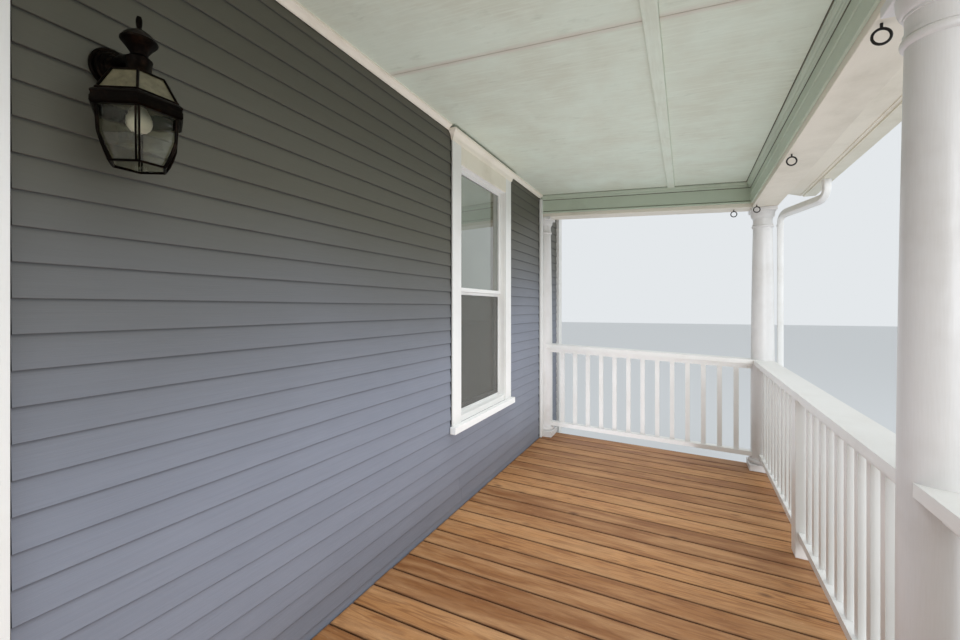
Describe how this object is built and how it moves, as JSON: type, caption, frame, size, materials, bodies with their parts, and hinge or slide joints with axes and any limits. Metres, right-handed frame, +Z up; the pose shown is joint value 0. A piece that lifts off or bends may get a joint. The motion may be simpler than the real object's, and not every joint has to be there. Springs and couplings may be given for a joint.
{
  "type": "front porch",
  "caption": "Long covered front porch with round tapered columns, baluster railings, plank deck, steps, shed roof and the clapboard house wall behind it.",
  "frame": {"origin": "centre of the bounding box on the ground", "axes": "+X along the facade, +Y into the house, +Z up"},
  "size_m": [10.45, 2.793, 3.7983],
  "materials": {
    "masonry": "rough rendered masonry",
    "timber": "bare sawn timber",
    "siding_paint": "painted clapboard",
    "white_paint": "painted wood",
    "cream_paint": "painted wood",
    "ceiling_paint": "painted wood",
    "door_paint": "painted wood",
    "deck_stain": "stained decking",
    "glass": "clear glass",
    "brass": "worn brass",
    "shingles": "rough mineral roofing",
    "gutter_metal": "painted metal",
    "bronze": "dark bronze paint"
  },
  "bodies": {
    "root": {"foundation_wall": "masonry", "piers": "masonry", "house_wall": "timber", "deck_joists": "timber", "deck_girders": "timber", "ceiling_joists": "timber", "roof_rafters": "timber", "roof_boarding": "timber", "wall_siding": "siding_paint", "end_gables": "siding_paint", "corner_boards": "white_paint", "window_frames": "white_paint", "window_sills": "white_paint", "window_sashes": "white_paint", "door_frame": "white_paint", "casings": "white_paint", "deck_apron": "white_paint", "deck_skirting": "white_paint", "step_stringers": "white_paint", "step_risers": "white_paint", "porch_columns": "white_paint", "wall_columns": "white_paint", "front_railings": "white_paint", "end_railings": "white_paint", "step_railings": "white_paint", "rail_caps": "white_paint", "railing_posts": "white_paint", "front_beam": "cream_paint", "end_beams": "cream_paint", "eave_soffit": "cream_paint", "fascia_boards": "cream_paint", "rake_boards": "cream_paint", "beam_lining": "ceiling_paint", "ceiling_mouldings": "ceiling_paint", "ceiling_panels": "ceiling_paint", "front_door": "door_paint", "deck_floor": "deck_stain", "step_treads": "deck_stain", "window_glass": "glass", "door_knob": "brass", "roof_covering": "shingles", "gutter": "gutter_metal", "downspouts": "gutter_metal", "wall_lanterns": "bronze", "ring_hooks": "bronze"}
  },
  "joints": []
}
